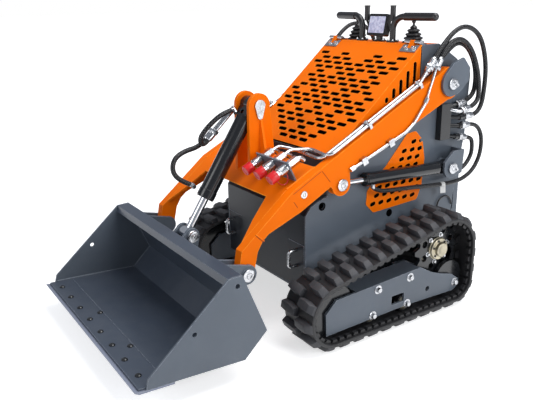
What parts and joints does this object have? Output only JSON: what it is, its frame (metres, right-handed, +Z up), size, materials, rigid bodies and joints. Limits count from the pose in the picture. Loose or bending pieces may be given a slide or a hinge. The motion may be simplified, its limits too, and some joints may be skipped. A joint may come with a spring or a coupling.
{
  "type": "skid steer loader",
  "caption": "Compact tracked stand-on skid steer loader with lift arms, a tilting bucket, hydraulic cylinders and hoses, an opening hood and a fold-down rear platform.",
  "frame": {"origin": "Centre of the machine on the ground, under the middle of its overall length.", "axes": "+X is the machine's left side, -Y is the bucket end, +Z is up."},
  "size_m": [1.076, 1.8, 1.258],
  "materials": {
    "orange_paint": "gloss orange powder coat",
    "grey_paint": "satin blue-grey powder coat",
    "wear_steel": "painted wear edge, rubbed bright at the lip",
    "engine_iron": "matt dark casting",
    "black_paint": "gloss black paint",
    "black_plastic": "moulded black plastic",
    "zinc": "bright zinc plate",
    "chrome_rod": "ground hard chrome",
    "red_plastic": "soft red dust caps",
    "track_rubber": "dusty black track rubber",
    "hose_rubber": "black braided hydraulic hose cover"
  },
  "bodies": {
    "chassis": {"side_plate_left": "grey_paint", "side_plate_right": "grey_paint", "front_box": "grey_paint", "floor_plate": "grey_paint", "rear_panel": "grey_paint", "engine": "engine_iron", "console": "grey_paint", "tower_left": "grey_paint", "tower_right": "grey_paint", "side_screens": "orange_paint", "grab_bars": "black_plastic", "control_levers": "black_plastic", "display": "black_plastic", "hood_hinges": "zinc", "valve_blocks": "black_paint", "tie_downs": "zinc", "track_left": "track_rubber", "track_right": "track_rubber", "track_frame_left": "grey_paint", "track_frame_right": "grey_paint", "rollers_left": "black_paint", "rollers_right": "black_paint", "sprocket_left": "black_paint", "sprocket_right": "black_paint", "tower_pins": "zinc", "platform_brackets": "grey_paint", "arm_hose_outer_left": "hose_rubber", "arm_hose_outer_right": "hose_rubber", "arm_hose_inner_left": "hose_rubber", "arm_hose_inner_right": "hose_rubber", "lift_hose_gland_left": "hose_rubber", "lift_hose_gland_right": "hose_rubber", "lift_hose_base_left": "hose_rubber", "lift_hose_base_right": "hose_rubber"},
    "hood": {"hood": "orange_paint"},
    "platform": {"platform": "grey_paint"},
    "arms": {"arm_left": "orange_paint", "arm_right": "orange_paint", "cross_member": "orange_paint", "cylinder_ears": "orange_paint", "arm_pins": "zinc", "arm_tubes_left": "zinc", "arm_tubes_right": "zinc", "coupler_bracket": "grey_paint", "couplers": "zinc", "coupler_caps": "red_plastic", "tilt_hose_base": "hose_rubber", "tilt_hose_gland": "hose_rubber"},
    "bucket": {"bucket_shell": "grey_paint", "bucket_side_left": "grey_paint", "bucket_side_right": "grey_paint", "cutting_edge": "wear_steel", "hitch": "grey_paint"},
    "lift_barrel_left": {"lift_barrel_left": "black_paint"},
    "lift_rod_left": {"lift_rod_left": "chrome_rod"},
    "lift_barrel_right": {"lift_barrel_right": "black_paint"},
    "lift_rod_right": {"lift_rod_right": "chrome_rod"},
    "tilt_barrel": {"tilt_barrel": "black_paint"},
    "tilt_rod": {"tilt_rod": "chrome_rod"}
  },
  "joints": [
    {"name": "arm_lift", "type": "hinge", "parent": "chassis", "child": "arms", "pos_m": [0, 0.6345, 0.943], "axis": [-1, 0, 0], "range_deg": [-2, 70], "deforming": ["arm_hose_outer_left", "arm_hose_outer_right", "arm_hose_inner_left", "arm_hose_inner_right", "lift_hose_gland_left", "lift_hose_gland_right", "lift_hose_base_left", "lift_hose_base_right"]},
    {"name": "bucket_tilt", "type": "hinge", "parent": "arms", "child": "bucket", "pos_m": [0, -0.389, 0.338], "axis": [1, 0, 0], "range_deg": [-25, 42], "deforming": ["tilt_hose_base", "tilt_hose_gland"]},
    {"name": "hood_hinge", "type": "hinge", "parent": "chassis", "child": "hood", "pos_m": [0, 0.519, 1.113], "axis": [-1, 0, 0], "range_deg": [0, 50]},
    {"name": "platform_fold", "type": "hinge", "parent": "chassis", "child": "platform", "pos_m": [0, 0.852, 0.262], "axis": [-1, 0, 0], "range_deg": [0, 90]},
    {"name": "lift_barrel_swing_left", "type": "hinge", "parent": "chassis", "child": "lift_barrel_left", "pos_m": [0.337, 0.6685, 0.574], "axis": [-1, 0, 0], "range_deg": [-2, 55]},
    {"name": "lift_rod_slide_left", "type": "slide", "parent": "lift_barrel_left", "child": "lift_rod_left", "axis": [0, -0.9992, 0.0408], "range_m": [-0.0115, 0.38]},
    {"name": "lift_barrel_swing_right", "type": "hinge", "parent": "chassis", "child": "lift_barrel_right", "pos_m": [-0.337, 0.6685, 0.574], "axis": [-1, 0, 0], "range_deg": [-2, 55]},
    {"name": "lift_rod_slide_right", "type": "slide", "parent": "lift_barrel_right", "child": "lift_rod_right", "axis": [0, -0.9992, 0.0408], "range_m": [-0.0115, 0.38]},
    {"name": "tilt_barrel_swing", "type": "hinge", "parent": "arms", "child": "tilt_barrel", "pos_m": [0, -0.123, 0.888], "axis": [1, 0, 0], "range_deg": [-2, 2]},
    {"name": "tilt_rod_slide", "type": "slide", "parent": "tilt_barrel", "child": "tilt_rod", "axis": [0, -0.5499, -0.8352], "range_m": [-0.04, 0.08]}
  ],
  "couplings": [
    {"joint": "lift_barrel_swing_left", "follows": "arm_lift", "ratio": 0.77},
    {"joint": "lift_rod_slide_left", "follows": "arm_lift", "m_per_rad": 0.308},
    {"joint": "lift_barrel_swing_right", "follows": "arm_lift", "ratio": 0.77},
    {"joint": "lift_rod_slide_right", "follows": "arm_lift", "m_per_rad": 0.308},
    {"joint": "tilt_barrel_swing", "follows": "bucket_tilt", "ratio": -0.015},
    {"joint": "tilt_rod_slide", "follows": "bucket_tilt", "m_per_rad": 0.072}
  ]
}
